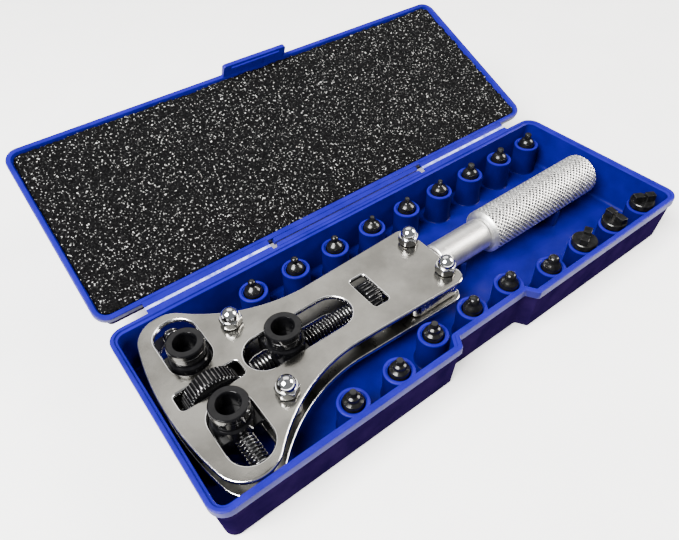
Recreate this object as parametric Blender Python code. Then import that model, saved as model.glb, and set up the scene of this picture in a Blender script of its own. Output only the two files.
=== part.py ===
"""Watch case back opener lying in its hinged case, with eighteen spare tips.

The opener is two steel plates held apart by bolts. A front screw, threaded left and right, opens
two jaws evenly, and a rear screw moves the third jaw along the neck. Each jaw is a slider with a
chuck that takes a tip. The case is a moulded tray and lid joined by a thin folding web.

Frame: origin at the centre of the tray's underside, +X towards the handle, +Y towards the
hinge, +Z up. The opener's own pieces are placed from the middle of its front screw.
"""
import math

import bmesh
import bpy

MM = 0.001
MERGE = 0.0001 * MM

# Fits
GAP = 0.3 * MM                      # between pieces that rest on or turn in one another
SLOT_GAP = 0.4 * MM                 # each side of a wheel or a slider in its slot

# Case
CASE_LENGTH = 168.0 * MM
CASE_WIDTH = 61.4 * MM
TRAY_HEIGHT = 17.0 * MM
LID_DEPTH = 12.5 * MM
RIM_WALL = 1.6 * MM
FLOOR = 1.6 * MM
CASE_CORNER = 4.5 * MM
OUTER_DRAFT = 1.6 * MM              # how far the tray's outside tapers in at its foot
INNER_DRAFT = 0.7 * MM              # how far its inside tapers in at the floor
LID_DRAFT = 3.0 * MM                # how far the lid's walls lean in at its roof

# Hinge web and latch
WEB_REACH = 1.7 * MM                # from each rim to the fold
WEB_THICKNESS = 0.7 * MM
WEB_LENGTH = 40.5 * MM
WEB_SPACING = 102.5 * MM            # between the middles of the two webs
LID_SWING = math.radians(155.4)     # from closed to the open stop
LATCH_X = 1.5 * MM
NOTCH_FLAT = 25.6 * MM
NOTCH_RAMP = 2.0 * MM
NOTCH_DEPTH = 3.2 * MM
TAB_THICKNESS = 1.5 * MM
TAB_DROP = 4.6 * MM

# Foam
FOAM_RECESS = 0.8 * MM              # below the lid's rim

# Opener: plates
HEAD_TO_RIM = 1.2 * MM              # between the head's front edge and the tray's rim
WHEEL_TO_FLOOR = 2.8 * MM           # left under the front wheel
PLATE_THICKNESS = 1.4 * MM
PLATE_GAP = 6.0 * MM
HEAD_HALF_WIDTH = 28.3 * MM
HEAD_FRONT = 12.2 * MM              # from the front screw to the front edge
FRONT_BULGE = 2.4 * MM
HEAD_CORNER = 8.5 * MM
FLANK_ANGLE = math.radians(45)
FLARE_RADIUS = 44.0 * MM
NECK_HALF_WIDTH = 12.5 * MM          # at the waist, where the flare ends
NECK_REAR_HALF_WIDTH = 13.8 * MM
PLATE_REAR = 74.8 * MM
PLATE_REAR_CORNER = 3.5 * MM

# Opener: fasteners
FRONT_BOLT = (13.9 * MM, 13.6 * MM)
REAR_BOLT = (71.6 * MM, 7.9 * MM)
BOLT_DIAMETER = 2.7 * MM
BOLT_HEAD_DIAMETER = 5.4 * MM
BOLT_HEAD_HEIGHT = 1.8 * MM
NUT_ACROSS_FLATS = 5.5 * MM
NUT_HEX_HEIGHT = 2.4 * MM
NUT_HEIGHT = 5.2 * MM
NUT_DOME_DIAMETER = 5.0 * MM
THREAD_IN_NUT = 2.8 * MM
POST_DIAMETER = 6.0 * MM

# Opener: screws, wheels, sliders and chucks
SCREW_DIAMETER = 5.0 * MM
JOURNAL_DIAMETER = 3.0 * MM
JOURNAL_LENGTH = 3.3 * MM
FRONT_SCREW_HALF = 24.2 * MM
REAR_SCREW_START = 11.0 * MM
FRONT_WHEEL_RADIUS = 7.6 * MM
FRONT_WINDOW_MARGIN = 1.85 * MM     # beyond the wheel at each end of its window
FRONT_WHEEL_WIDTH = 4.6 * MM
REAR_WHEEL_RADIUS = 5.3 * MM
REAR_WHEEL_WIDTH = 4.2 * MM
REAR_WHEEL_X = 50.0 * MM
REAR_WINDOW_HALF_Y = 6.0 * MM
WHEEL_CHAMFER = 0.5 * MM
SLIDER_DIAMETER = 10.6 * MM
SLIDER_EAR_SPAN = 15.0 * MM
SLIDER_EAR_LENGTH = 9.0 * MM
SLIDER_RISE = 1.0 * MM
FRONT_JAW_Y = 11.1 * MM
FRONT_JAW_IN = 0.8 * MM             # room in the slot on either side of each slider as it lies
FRONT_JAW_OUT = 8.6 * MM
REAR_JAW_X = 22.0 * MM
REAR_JAW_FORWARD = 6.3 * MM
REAR_JAW_BACK = 15.3 * MM
CHUCK_BODY_DIAMETER = 9.3 * MM
CHUCK_COLLAR_DIAMETER = 9.8 * MM
CHUCK_COLLAR_HEIGHT = 1.8 * MM
CHUCK_RISE = 5.6 * MM               # collar top above the top plate
SPIGOT_DIAMETER = 8.2 * MM
SPIGOT_FLOOR = 0.9 * MM
SLIDER_WEB = 0.6 * MM               # left between the screw's bore and the spigot's recess

# Opener: neck block and handle
NECK_BLOCK_START = 57.0 * MM
NECK_BLOCK_HALF_WIDTH = 12.0 * MM
NECK_BLOCK_CORNER = 2.5 * MM
STEM_DIAMETER = 10.0 * MM
STEM_EXPOSED = 20.0 * MM
STEM_TAIL_DIAMETER = 3.8 * MM
STEM_TAIL_LENGTH = 10.0 * MM
STEM_TENON_DIAMETER = 6.0 * MM
STEM_TENON_LENGTH = 20.0 * MM
GRIP_DIAMETER = 14.0 * MM
GRIP_LENGTH = 49.5 * MM
GRIP_CHAMFER = 1.0 * MM

# Spare tips and their wells
TIPS_PER_ROW = 9
FIRST_TIP_FROM_HEAD = 26.0 * MM     # along the case, from the front screw
TIP_PITCH = 14.8 * MM
WELL_TO_RIM = 1.2 * MM              # between a well and the tray's rim
SHANK_DIAMETER = 5.4 * MM
WELL_OUTER_DIAMETER = 8.6 * MM
WELL_TOP = 12.4 * MM
WELL_DEPTH = 7.0 * MM

# Ribs and pads that carry the opener
RIB_THICKNESS = 2.4 * MM
STEM_RIB_ALONG = 8.9 * MM           # from the stem's start
STEM_RIB_MARGIN = 2.5 * MM          # beside the stem
STEM_RIB_DROP = 2.0 * MM            # below the stem's middle
GRIP_RIB_ALONG = 31.9 * MM          # from the grip's start
GRIP_RIB_MARGIN = 1.3 * MM
GRIP_RIB_DROP = 4.0 * MM
NECK_RIB_X = 45.6 * MM              # from the front screw, like the head pads
NECK_RIB_HALF_WIDTH = 9.0 * MM
HEAD_PAD_X = -9.0 * MM
HEAD_PAD_Y = 12.0 * MM
HEAD_PAD_LENGTH = 8.0 * MM

# Facets
CORNER_STEPS = 4
BORE_SIDES = 16
ROUND_SIDES = 20
CHUCK_SIDES = 24
WHEEL_SIDES = 28
TIP_SIDES = 12

# Worked out from the sizes above
AXIS_HEIGHT = FLOOR + WHEEL_TO_FLOOR + FRONT_WHEEL_RADIUS   # middle of the opener
HEAD_X = -CASE_LENGTH / 2 + RIM_WALL + HEAD_TO_RIM + HEAD_FRONT   # the front screw's place
FIRST_TIP_X = HEAD_X + FIRST_TIP_FROM_HEAD
TIP_ROW_Y = CASE_WIDTH / 2 - RIM_WALL - WELL_TO_RIM - WELL_OUTER_DIAMETER / 2
HINGE_Y = CASE_WIDTH / 2 + WEB_REACH
HINGE_Z = TRAY_HEIGHT + GAP / 2
NOTCH_SLOPE = math.atan2(NOTCH_DEPTH, NOTCH_RAMP)
TAB_LENGTH = NOTCH_FLAT - 2 * GAP
PLATE_TOP = PLATE_GAP / 2 + PLATE_THICKNESS
BETWEEN_PLATES = PLATE_GAP - 2 * GAP
SLOT_WIDTH = SLIDER_DIAMETER + 2 * SLOT_GAP
FRONT_SLOT_INNER = FRONT_JAW_Y - SLIDER_DIAMETER / 2 - FRONT_JAW_IN
FRONT_SLOT_OUTER = FRONT_JAW_Y + SLIDER_DIAMETER / 2 + FRONT_JAW_OUT
REAR_SLOT_START = REAR_JAW_X - SLIDER_DIAMETER / 2 - REAR_JAW_FORWARD
REAR_SLOT_END = REAR_JAW_X + SLIDER_DIAMETER / 2 + REAR_JAW_BACK
FRONT_WINDOW_HALF_X = (math.sqrt(FRONT_WHEEL_RADIUS ** 2 - (PLATE_GAP / 2) ** 2)
                       + FRONT_WINDOW_MARGIN)
SCREW_BORE = SCREW_DIAMETER + 2 * GAP
SOCKET_DIAMETER = SHANK_DIAMETER + 2 * GAP
BOLT_HOLE = BOLT_DIAMETER + 2 * GAP
SLIDER_TOP = PLATE_TOP + SLIDER_RISE
CHUCK_TOP = PLATE_TOP + CHUCK_RISE
CHUCK_SHOULDER = SLIDER_TOP + GAP
RECESS_FLOOR = SCREW_BORE / 2 + SLIDER_WEB
NECK_BLOCK_END = PLATE_REAR - GAP
STEM_START = PLATE_REAR + GAP
GRIP_START = STEM_START + STEM_EXPOSED
STEM_RIB_X = HEAD_X + STEM_START + STEM_RIB_ALONG
STEM_RIB_HALF_WIDTH = STEM_DIAMETER / 2 + STEM_RIB_MARGIN
GRIP_RIB_X = HEAD_X + GRIP_START + GRIP_RIB_ALONG
GRIP_RIB_HALF_WIDTH = GRIP_DIAMETER / 2 + GRIP_RIB_MARGIN
PAD_TOP = AXIS_HEIGHT - PLATE_TOP - GAP

COLOURS = {
    "case_plastic": ((0.012, 0.022, 0.50, 1), 0.38, 0.0),
    "foam": ((0.035, 0.035, 0.035, 1), 0.95, 0.0),
    "plate_steel": ((0.55, 0.53, 0.49, 1), 0.28, 1.0),
    "handle_steel": ((0.78, 0.77, 0.75, 1), 0.32, 1.0),
    "nut_chrome": ((0.82, 0.82, 0.82, 1), 0.08, 1.0),
    "black_oxide": ((0.02, 0.02, 0.022, 1), 0.35, 0.6),
}


def material(name):
    if name in bpy.data.materials:
        return bpy.data.materials[name]
    colour, roughness, metallic = COLOURS[name]
    made = bpy.data.materials.new(name)
    made.use_nodes = True
    shader = made.node_tree.nodes["Principled BSDF"]
    shader.inputs["Base Color"].default_value = colour
    shader.inputs["Roughness"].default_value = roughness
    shader.inputs["Metallic"].default_value = metallic
    return made


def place(name, mesh, finish, location=(0, 0, 0), rotation=(0, 0, 0), parent=None):
    """Turns a bmesh into a named object with its own material, smooth where it is round."""
    bmesh.ops.remove_doubles(mesh, verts=mesh.verts, dist=MERGE)
    bmesh.ops.recalc_face_normals(mesh, faces=mesh.faces)
    data = bpy.data.meshes.new(name)
    mesh.to_mesh(data)
    mesh.free()
    data.shade_smooth()
    data.set_sharp_from_angle(angle=math.radians(35))
    body = bpy.data.objects.new(name, data)
    bpy.context.collection.objects.link(body)
    body.location = location
    body.rotation_euler = rotation
    body.parent = parent
    own = material(finish).copy()
    own.name = f"{name}_{finish}"
    data.materials.append(own)
    return body


def combine(body, operation, tool):
    """Cuts or joins a body with a helper, which stays out of the model itself."""
    tool.hide_render = True
    tool.display_type = "WIRE"
    change = body.modifiers.new(tool.name, "BOOLEAN")
    change.operation = operation
    change.solver = "EXACT"
    change.object = tool


def arc(centre, radius, start, end, steps):
    """Points along an arc, angles in degrees."""
    angles = [math.radians(start + (end - start) * i / steps) for i in range(steps + 1)]
    return [(centre[0] + radius * math.cos(a), centre[1] + radius * math.sin(a)) for a in angles]


def rounded_rectangle(half_x, half_y, radius, middle=(0, 0)):
    points = []
    for side_x, side_y, start in ((1, 1, 0), (-1, 1, 90), (-1, -1, 180), (1, -1, 270)):
        centre = (middle[0] + side_x * (half_x - radius), middle[1] + side_y * (half_y - radius))
        points += arc(centre, radius, start, start + 90, CORNER_STEPS)
    return points


def capsule(start, end, width):
    """A slot's outline, along X from one rounded end to the other."""
    radius = width / 2
    right = arc((end - radius, 0), radius, -90, 90, 6)
    left = arc((start + radius, 0), radius, 90, 270, 6)
    return right + left


def circle(centre, diameter, sides):
    return arc(centre, diameter / 2, 0, 360, sides)[:-1]


def lofted(loops):
    """Joins loops of equal length into a closed skin, with a face over the first and last."""
    mesh = bmesh.new()
    rings = [[mesh.verts.new(point) for point in loop] for loop in loops]
    for lower, upper in zip(rings, rings[1:]):
        for i in range(len(lower)):
            mesh.faces.new((lower[i - 1], lower[i], upper[i], upper[i - 1]))
    mesh.faces.new(rings[0])
    mesh.faces.new(rings[-1])
    return mesh


def plate(outline, holes, bottom, top):
    """Fills an outline that has holes, and extrudes it into a plate."""
    mesh = bmesh.new()
    edges = []
    for loop in (outline, *holes):
        points = [mesh.verts.new((x, y, bottom)) for x, y in loop]
        edges += [mesh.edges.new((points[i - 1], points[i])) for i in range(len(points))]
    bmesh.ops.triangle_fill(mesh, edges=edges, use_beauty=True)
    extruded = bmesh.ops.extrude_face_region(mesh, geom=mesh.faces[:])
    raised = [item for item in extruded["geom"] if isinstance(item, bmesh.types.BMVert)]
    bmesh.ops.translate(mesh, verts=raised, vec=(0, 0, top - bottom))
    return mesh


def turned(profile, sides, closed=False):
    """Spins (radius, height) points about Z. A closed profile makes a ring."""
    mesh = bmesh.new()
    points = [mesh.verts.new((radius, 0, height)) for radius, height in profile]
    edges = [mesh.edges.new(pair) for pair in zip(points, points[1:])]
    if closed:
        edges.append(mesh.edges.new((points[-1], points[0])))
    bmesh.ops.spin(mesh, geom=points + edges, cent=(0, 0, 0), axis=(0, 0, 1),
                   angle=math.tau, steps=sides)
    return mesh


def cylinders(places, diameter, bottom, top, sides):
    """One mesh of several upright cylinders, for joining to or cutting from a body."""
    mesh = bmesh.new()
    for place_xy in places:
        lower = [mesh.verts.new((x, y, bottom)) for x, y in circle(place_xy, diameter, sides)]
        upper = [mesh.verts.new((x, y, top)) for x, y in circle(place_xy, diameter, sides)]
        for i in range(sides):
            mesh.faces.new((lower[i - 1], lower[i], upper[i], upper[i - 1]))
        mesh.faces.new(lower)
        mesh.faces.new(upper)
    return mesh


def boxes(corners):
    """One mesh of several boxes, each given as (x0, x1, y0, y1, z0, z1)."""
    mesh = bmesh.new()
    for x0, x1, y0, y1, z0, z1 in corners:
        outline = ((x0, y0), (x1, y0), (x1, y1), (x0, y1))
        lower = [mesh.verts.new((x, y, z0)) for x, y in outline]
        upper = [mesh.verts.new((x, y, z1)) for x, y in outline]
        for i in range(4):
            mesh.faces.new((lower[i - 1], lower[i], upper[i], upper[i - 1]))
        mesh.faces.new(lower)
        mesh.faces.new(upper)
    return mesh


def helper(name, mesh, **placing):
    return place(f"{name}_helper", mesh, "black_oxide", **placing)


ALONG_X = (0, math.pi / 2, 0)       # turns a piece made about Z to lie along +X
ALONG_Y = (-math.pi / 2, 0, 0)      # the same for +Y


# Case

def tray_outline(inset, height):
    """The tray's outline, moved in by inset, with the latch notch in its front side."""
    half_x = CASE_LENGTH / 2 - inset
    half_y = CASE_WIDTH / 2 - inset
    outline = rounded_rectangle(half_x, half_y, max(CASE_CORNER - inset, 0.5 * MM))
    spread = inset * math.tan(NOTCH_SLOPE / 2)
    flat = NOTCH_FLAT / 2 + spread
    notch = [(LATCH_X - flat - NOTCH_RAMP, -half_y), (LATCH_X - flat, -half_y + NOTCH_DEPTH),
             (LATCH_X + flat, -half_y + NOTCH_DEPTH), (LATCH_X + flat + NOTCH_RAMP, -half_y)]
    before_front = 3 * (CORNER_STEPS + 1)
    outline[before_front:before_front] = notch
    return [(x, y, height) for x, y in outline]


def tip_place(row, number):
    """A well's centre. The front row steps in where the latch notch narrows the tray."""
    x = FIRST_TIP_X + TIP_PITCH * number
    if row == "hinge":
        return x, TIP_ROW_Y
    reach = NOTCH_FLAT / 2 + NOTCH_RAMP + RIM_WALL + WELL_OUTER_DIAMETER / 2
    beside_notch = abs(x - LATCH_X) < reach
    return x, -TIP_ROW_Y + (NOTCH_DEPTH if beside_notch else 0)


def all_tip_places():
    return [tip_place(row, number) for row in ("hinge", "front") for number in range(TIPS_PER_ROW)]


def web_spans():
    """The two webs' ends along X."""
    for side in (-1, 1):
        middle = side * WEB_SPACING / 2
        yield middle - WEB_LENGTH / 2, middle + WEB_LENGTH / 2


def make_tray():
    tray = place("case_base", lofted([
        tray_outline(OUTER_DRAFT, 0),
        tray_outline(0, TRAY_HEIGHT),
        tray_outline(RIM_WALL, TRAY_HEIGHT),
        tray_outline(RIM_WALL + INNER_DRAFT, FLOOR),
    ]), "case_plastic")
    sunk = FLOOR / 2
    wells = cylinders(all_tip_places(), WELL_OUTER_DIAMETER, sunk, WELL_TOP, BORE_SIDES)
    combine(tray, "UNION", helper("wells", wells))
    ribs = boxes([
        (STEM_RIB_X - RIB_THICKNESS / 2, STEM_RIB_X + RIB_THICKNESS / 2,
         -STEM_RIB_HALF_WIDTH, STEM_RIB_HALF_WIDTH, sunk, AXIS_HEIGHT - STEM_RIB_DROP),
        (GRIP_RIB_X - RIB_THICKNESS / 2, GRIP_RIB_X + RIB_THICKNESS / 2,
         -GRIP_RIB_HALF_WIDTH, GRIP_RIB_HALF_WIDTH, sunk, AXIS_HEIGHT - GRIP_RIB_DROP),
        (HEAD_X + NECK_RIB_X - RIB_THICKNESS / 2, HEAD_X + NECK_RIB_X + RIB_THICKNESS / 2,
         -NECK_RIB_HALF_WIDTH, NECK_RIB_HALF_WIDTH, sunk, PAD_TOP),
    ] + [
        (HEAD_X + HEAD_PAD_X - RIB_THICKNESS / 2, HEAD_X + HEAD_PAD_X + RIB_THICKNESS / 2,
         side * HEAD_PAD_Y - HEAD_PAD_LENGTH / 2, side * HEAD_PAD_Y + HEAD_PAD_LENGTH / 2,
         sunk, PAD_TOP)
        for side in (-1, 1)
    ])
    combine(tray, "UNION", helper("ribs", ribs))
    webs = boxes([
        (start, end, CASE_WIDTH / 2 - RIM_WALL / 2, HINGE_Y - GAP / 2,
         TRAY_HEIGHT - WEB_THICKNESS, TRAY_HEIGHT)
        for start, end in web_spans()
    ])
    combine(tray, "UNION", helper("tray_webs", webs))
    bores = cylinders(all_tip_places(), SOCKET_DIAMETER, WELL_TOP - WELL_DEPTH, TRAY_HEIGHT,
                      BORE_SIDES)
    combine(tray, "DIFFERENCE", helper("well_bores", bores))
    for name, x, diameter in (("stem_cradle", STEM_RIB_X, STEM_DIAMETER),
                              ("grip_cradle", GRIP_RIB_X, GRIP_DIAMETER)):
        round_cut = cylinders([(0, 0)], diameter + 2 * GAP, -2 * RIB_THICKNESS,
                              2 * RIB_THICKNESS, ROUND_SIDES)
        combine(tray, "DIFFERENCE", helper(name, round_cut, location=(x, 0, AXIS_HEIGHT),
                                           rotation=ALONG_X))
    return tray


def lid_loop(inset, height):
    """A loop of the lid as it lies closed, measured from the fold."""
    middle = (0, -WEB_REACH - CASE_WIDTH / 2)
    outline = rounded_rectangle(CASE_LENGTH / 2 - inset, CASE_WIDTH / 2 - inset,
                                max(CASE_CORNER - inset, 0.5 * MM), middle)
    return [(x, y, height) for x, y in outline]


def make_lid():
    """The lid is drawn closed about the fold, then swung open."""
    swung = {"location": (0, HINGE_Y, HINGE_Z), "rotation": (-LID_SWING, 0, 0)}
    rim = GAP / 2
    roof = rim + LID_DEPTH
    under_roof = roof - RIM_WALL
    lid = place("case_lid", lofted([
        lid_loop(LID_DRAFT, roof),
        lid_loop(0, rim),
        lid_loop(RIM_WALL, rim),
        lid_loop(RIM_WALL + LID_DRAFT, under_roof),
    ]), "case_plastic", **swung)
    webs = boxes([
        (start, end, -WEB_REACH - RIM_WALL / 2, -GAP / 2, rim, rim + WEB_THICKNESS)
        for start, end in web_spans()
    ])
    combine(lid, "UNION", helper("lid_webs", webs, **swung))
    front = -WEB_REACH - CASE_WIDTH
    tab = boxes([(LATCH_X - TAB_LENGTH / 2, LATCH_X + TAB_LENGTH / 2,
                  front, front + TAB_THICKNESS, rim - TAB_DROP, rim + TAB_THICKNESS)])
    combine(lid, "UNION", helper("latch_tab", tab, **swung))
    lean = LID_DRAFT * FOAM_RECESS / (LID_DEPTH - RIM_WALL)
    place("lid_foam", lofted([
        lid_loop(RIM_WALL + LID_DRAFT + GAP, under_roof - GAP),
        lid_loop(RIM_WALL + lean + GAP, rim + FOAM_RECESS),
    ]), "foam", **swung)


# Opener

def head_half_outline():
    """The plate's edge from the front centre, round the head and flare, to the neck's end."""
    corner_x = -HEAD_FRONT + FRONT_BULGE + HEAD_CORNER
    corner_y = HEAD_HALF_WIDTH - HEAD_CORNER
    # the long front arc and the corner's arc share a tangent where they meet
    between_centres = (corner_y ** 2 + FRONT_BULGE ** 2) / (2 * FRONT_BULGE)
    bulge_radius = between_centres + HEAD_CORNER
    bulge_angle = math.degrees(math.asin(corner_y / between_centres))
    front = arc((-HEAD_FRONT + bulge_radius, 0), bulge_radius, 180, 180 - bulge_angle, 4)
    flank = math.degrees(FLANK_ANGLE)
    corner = arc((corner_x, corner_y), HEAD_CORNER, 180 - bulge_angle, 90 - flank, 9)
    leave_x, leave_y = corner[-1]
    # the flare meets the flank's straight line and the waist at a tangent
    drop = FLARE_RADIUS * (1 - math.cos(FLANK_ANGLE))
    run = FLARE_RADIUS * math.sin(FLANK_ANGLE)
    start_x = leave_x + (leave_y - NECK_HALF_WIDTH - drop) / math.tan(FLANK_ANGLE)
    flare_centre = (start_x + run, NECK_HALF_WIDTH + FLARE_RADIUS)
    flare = arc(flare_centre, FLARE_RADIUS, 270 - flank, 270, 7)
    rear = arc((PLATE_REAR - PLATE_REAR_CORNER, NECK_REAR_HALF_WIDTH - PLATE_REAR_CORNER),
               PLATE_REAR_CORNER, 90, 0, CORNER_STEPS)
    return front + corner[1:] + flare + rear


def head_outline():
    upper = head_half_outline()
    lower = [(x, -y) for x, y in reversed(upper[1:])]
    return upper + lower


def plate_holes():
    """Slots, wheel windows and bolt holes, the same in both plates."""
    across = capsule(FRONT_SLOT_INNER, FRONT_SLOT_OUTER, SLOT_WIDTH)
    holes = [[(y, side * x) for x, y in across] for side in (-1, 1)]
    holes.append(capsule(REAR_SLOT_START, REAR_SLOT_END, SLOT_WIDTH))
    holes.append(rounded_rectangle(FRONT_WINDOW_HALF_X, FRONT_WHEEL_WIDTH / 2 + SLOT_GAP,
                                   1.0 * MM))
    holes.append(rounded_rectangle(REAR_WHEEL_WIDTH / 2 + SLOT_GAP, REAR_WINDOW_HALF_Y,
                                   0.6 * MM, (REAR_WHEEL_X, 0)))
    return holes + [circle(spot, BOLT_HOLE, TIP_SIDES) for spot in bolt_places().values()]


def bolt_places():
    return {
        f"{end}_{side}": (x, sign * y)
        for end, (x, y) in (("front", FRONT_BOLT), ("rear", REAR_BOLT))
        for side, sign in (("left", 1), ("right", -1))
    }


def make_plates(opener):
    inner = PLATE_GAP / 2
    for name, bottom, top in (("top_plate", inner, PLATE_TOP),
                              ("bottom_plate", -PLATE_TOP, -inner)):
        place(name, plate(head_outline(), plate_holes(), bottom, top), "plate_steel",
              parent=opener)


def make_fasteners(opener):
    half = BETWEEN_PLATES / 2
    bolt_radius = BOLT_DIAMETER / 2
    head_radius = BOLT_HEAD_DIAMETER / 2
    under_head = -PLATE_TOP - GAP
    bolt_tip = PLATE_TOP + THREAD_IN_NUT
    bolt_profile = [(0, under_head - BOLT_HEAD_HEIGHT),
                    (head_radius * 0.8, under_head - BOLT_HEAD_HEIGHT),
                    (head_radius, under_head - BOLT_HEAD_HEIGHT * 0.6),
                    (head_radius, under_head), (bolt_radius, under_head),
                    (bolt_radius, bolt_tip), (0, bolt_tip)]
    post_profile = [(POST_DIAMETER / 2, -half), (POST_DIAMETER / 2, half),
                    (BOLT_HOLE / 2, half), (BOLT_HOLE / 2, -half)]
    for spot, (x, y) in bolt_places().items():
        place(f"bolt_{spot}", turned(bolt_profile, TIP_SIDES), "nut_chrome",
              location=(x, y, 0), parent=opener)
        if spot.startswith("front"):
            place(f"spacer_post_{spot}", turned(post_profile, ROUND_SIDES, closed=True),
                  "plate_steel", location=(x, y, 0), parent=opener)
        make_nut(spot, x, y, opener)


def make_nut(spot, x, y, opener):
    """A hexagon with a domed cap, bored from below for the bolt's end."""
    seat = PLATE_TOP + GAP
    corner = NUT_ACROSS_FLATS / 2 / math.cos(math.pi / 6)
    dome = NUT_DOME_DIAMETER / 2
    hexagon = [(px, py) for px, py in circle((0, 0), 2 * corner, 6)]
    nut = place(f"acorn_nut_{spot}", plate(hexagon, [], seat, seat + NUT_HEX_HEIGHT),
                "nut_chrome", location=(x, y, 0), parent=opener)
    dome_base = seat + NUT_HEIGHT - dome
    cap_profile = [(0, seat + NUT_HEX_HEIGHT / 2), (dome, seat + NUT_HEX_HEIGHT / 2)]
    cap_profile += [(dome * math.cos(a), dome_base + dome * math.sin(a))
                    for a in (math.radians(22.5 * i) for i in range(5))]
    cap = helper(f"cap_{spot}", turned(cap_profile, TIP_SIDES), location=(x, y, 0),
                 parent=opener)
    combine(nut, "UNION", cap)
    bore = cylinders([(0, 0)], BOLT_HOLE, seat - NUT_HEX_HEIGHT,
                     PLATE_TOP + THREAD_IN_NUT + GAP, TIP_SIDES)
    combine(nut, "DIFFERENCE", helper(f"thread_{spot}", bore, location=(x, y, 0),
                                      parent=opener))


def make_neck_block(opener):
    """The block that the handle screws into, with a pilot hole for the rear screw's end."""
    half = BETWEEN_PLATES / 2
    middle = (NECK_BLOCK_START + NECK_BLOCK_END) / 2
    outline = rounded_rectangle((NECK_BLOCK_END - NECK_BLOCK_START) / 2, NECK_BLOCK_HALF_WIDTH,
                                NECK_BLOCK_CORNER, (middle, 0))
    holes = [circle(place_xy, BOLT_HOLE, TIP_SIDES)
             for spot, place_xy in bolt_places().items() if spot.startswith("rear")]
    block = place("neck_block", plate(outline, holes, -half, half), "plate_steel", parent=opener)
    pilot = cylinders([(0, 0)], JOURNAL_DIAMETER + 2 * GAP, -JOURNAL_LENGTH,
                      JOURNAL_LENGTH + GAP, TIP_SIDES)
    combine(block, "DIFFERENCE", helper("pilot", pilot, location=(NECK_BLOCK_START, 0, 0),
                                        rotation=ALONG_X, parent=opener))
    tail = cylinders([(0, 0)], STEM_TAIL_DIAMETER + 2 * GAP, -STEM_TAIL_LENGTH - GAP,
                     STEM_TAIL_LENGTH, TIP_SIDES)
    combine(block, "DIFFERENCE", helper("tail_bore", tail, location=(NECK_BLOCK_END, 0, 0),
                                        rotation=ALONG_X, parent=opener))


def make_handle(opener):
    stem = STEM_DIAMETER / 2
    tail = STEM_TAIL_DIAMETER / 2
    tenon = STEM_TENON_DIAMETER / 2
    tail_end = NECK_BLOCK_END - STEM_TAIL_LENGTH
    tenon_end = GRIP_START + STEM_TENON_LENGTH
    stem_profile = [(0, tail_end), (tail, tail_end), (tail, STEM_START), (stem, STEM_START),
                    (stem, GRIP_START - GAP), (tenon, GRIP_START - GAP), (tenon, tenon_end),
                    (0, tenon_end)]
    place("handle_stem", turned(stem_profile, ROUND_SIDES), "handle_steel",
          rotation=ALONG_X, parent=opener)
    grip = GRIP_DIAMETER / 2
    bore = tenon + GAP
    bore_end = tenon_end + GAP
    grip_end = GRIP_START + GRIP_LENGTH
    grip_profile = [(0, bore_end), (bore, bore_end), (bore, GRIP_START),
                    (grip - GRIP_CHAMFER, GRIP_START), (grip, GRIP_START + GRIP_CHAMFER),
                    (grip, grip_end - GRIP_CHAMFER), (grip - GRIP_CHAMFER, grip_end),
                    (0, grip_end)]
    place("handle_grip", turned(grip_profile, CHUCK_SIDES), "handle_steel",
          rotation=ALONG_X, parent=opener)


def make_wheel(name, radius, width, location, rotation, opener):
    half = width / 2
    bore = SCREW_BORE / 2
    profile = [(bore, -half), (radius - WHEEL_CHAMFER, -half), (radius, -half + WHEEL_CHAMFER),
               (radius, half - WHEEL_CHAMFER), (radius - WHEEL_CHAMFER, half), (bore, half)]
    place(name, turned(profile, WHEEL_SIDES, closed=True), "black_oxide",
          location=location, rotation=rotation, parent=opener)


def make_screws(opener):
    radius = SCREW_DIAMETER / 2
    front_profile = [(0, -FRONT_SCREW_HALF), (radius, -FRONT_SCREW_HALF),
                     (radius, FRONT_SCREW_HALF), (0, FRONT_SCREW_HALF)]
    place("front_screw", turned(front_profile, BORE_SIDES), "black_oxide",
          rotation=ALONG_Y, parent=opener)
    make_wheel("front_thumbwheel", FRONT_WHEEL_RADIUS, FRONT_WHEEL_WIDTH, (0, 0, 0), ALONG_Y,
               opener)
    journal = JOURNAL_DIAMETER / 2
    shoulder = NECK_BLOCK_START - GAP
    journal_end = NECK_BLOCK_START + JOURNAL_LENGTH
    rear_profile = [(0, REAR_SCREW_START), (radius, REAR_SCREW_START), (radius, shoulder),
                    (journal, shoulder), (journal, journal_end), (0, journal_end)]
    place("rear_screw", turned(rear_profile, BORE_SIDES), "black_oxide", rotation=ALONG_X,
          parent=opener)
    make_wheel("rear_thumbwheel", REAR_WHEEL_RADIUS, REAR_WHEEL_WIDTH, (REAR_WHEEL_X, 0, 0),
               ALONG_X, opener)


def make_jaw(name, location, travels_along_x, opener):
    """A slider that rides on the screw between the plates, and the chuck set in its top."""
    half = BETWEEN_PLATES / 2
    bore_rotation = ALONG_X if travels_along_x else ALONG_Y
    ear_x, ear_y = SLIDER_EAR_LENGTH / 2, SLIDER_EAR_SPAN / 2
    if not travels_along_x:
        ear_x, ear_y = ear_y, ear_x
    radius = SLIDER_DIAMETER / 2
    recess = SPIGOT_DIAMETER / 2 + GAP
    barrel = [(0, -PLATE_TOP), (radius, -PLATE_TOP), (radius, SLIDER_TOP), (recess, SLIDER_TOP),
              (recess, RECESS_FLOOR), (0, RECESS_FLOOR)]
    slider = place(f"{name}_slider", turned(barrel, CHUCK_SIDES), "black_oxide",
                   location=location, parent=opener)
    ears = boxes([(-ear_x, ear_x, -ear_y, ear_y, -half, half)])
    combine(slider, "UNION", helper(f"{name}_ears", ears, location=location, parent=opener))
    bore = cylinders([(0, 0)], SCREW_BORE, -SLIDER_EAR_SPAN, SLIDER_EAR_SPAN, BORE_SIDES)
    combine(slider, "DIFFERENCE", helper(f"{name}_bore", bore, location=location,
                                         rotation=bore_rotation, parent=opener))
    make_chuck(name, location, opener)


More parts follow.
